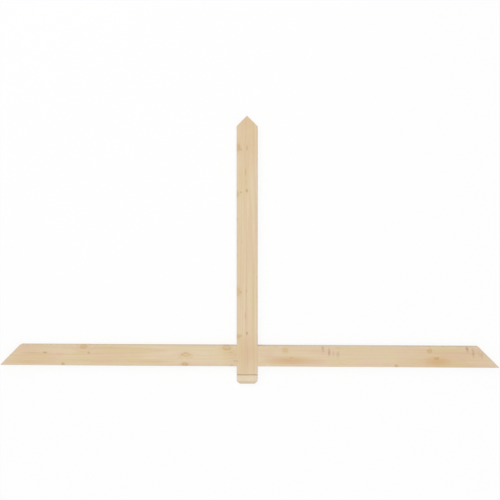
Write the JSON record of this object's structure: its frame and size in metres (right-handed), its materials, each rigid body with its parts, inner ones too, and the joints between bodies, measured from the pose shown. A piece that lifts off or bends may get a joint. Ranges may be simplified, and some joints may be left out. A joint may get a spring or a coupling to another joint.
{
  "type": "timber gable bracket",
  "caption": "Flat timber gable bracket: a pointed king post crossed by a tie with raked ends, and a grooved, chamfered foot, to fit under a steep roof peak.",
  "frame": {"origin": "where the centre lines of the post and the tie cross, on the back faces, which lie on the floor", "axes": "+X along the tie to the right arm as seen from the front, +Y up the post to its pointed head, +Z out of the front face"},
  "size_m": [2.1336, 1.143, 0.0381],
  "materials": {
    "softwood": "planed and unfinished, matt"
  },
  "bodies": {
    "root": {"king_post": "softwood", "left_arm": "softwood", "right_arm": "softwood"}
  },
  "joints": []
}
